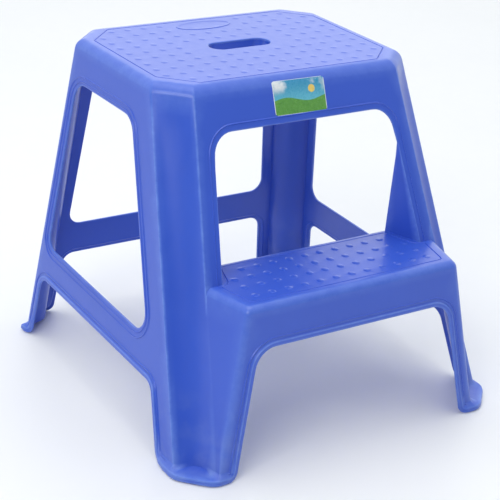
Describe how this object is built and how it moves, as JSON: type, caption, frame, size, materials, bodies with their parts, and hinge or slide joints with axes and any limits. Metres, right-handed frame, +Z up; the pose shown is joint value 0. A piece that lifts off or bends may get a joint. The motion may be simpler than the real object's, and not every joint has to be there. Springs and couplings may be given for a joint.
{
  "type": "mounting block",
  "caption": "Two-step plastic mounting block: studded standing deck with a hand slot on flared hollow legs, a lower tread in front, open arches all round.",
  "frame": {"origin": "centre of the footprint, on the ground", "axes": "+Z up; the lower tread faces -Y; +X is to the right of someone who climbs it"},
  "size_m": [0.446, 0.476, 0.4],
  "materials": {
    "moulding": "glossy moulded plastic",
    "label": "printed film label"
  },
  "bodies": {
    "root": {"top_deck": "moulding", "hand_slot_rim": "moulding", "deck_ribs": "moulding", "front_apron": "moulding", "back_apron": "moulding", "left_apron": "moulding", "right_apron": "moulding", "front_left_leg": "moulding", "front_right_leg": "moulding", "back_left_leg": "moulding", "back_right_leg": "moulding", "left_rail": "moulding", "right_rail": "moulding", "back_rail": "moulding", "step_tread": "moulding", "step_apron": "moulding", "step_left_wall": "moulding", "step_right_wall": "moulding", "left_cheek": "moulding", "right_cheek": "moulding", "step_ribs": "moulding", "front_left_foot": "moulding", "front_right_foot": "moulding", "back_left_foot": "moulding", "back_right_foot": "moulding", "product_label": "label"}
  },
  "joints": []
}
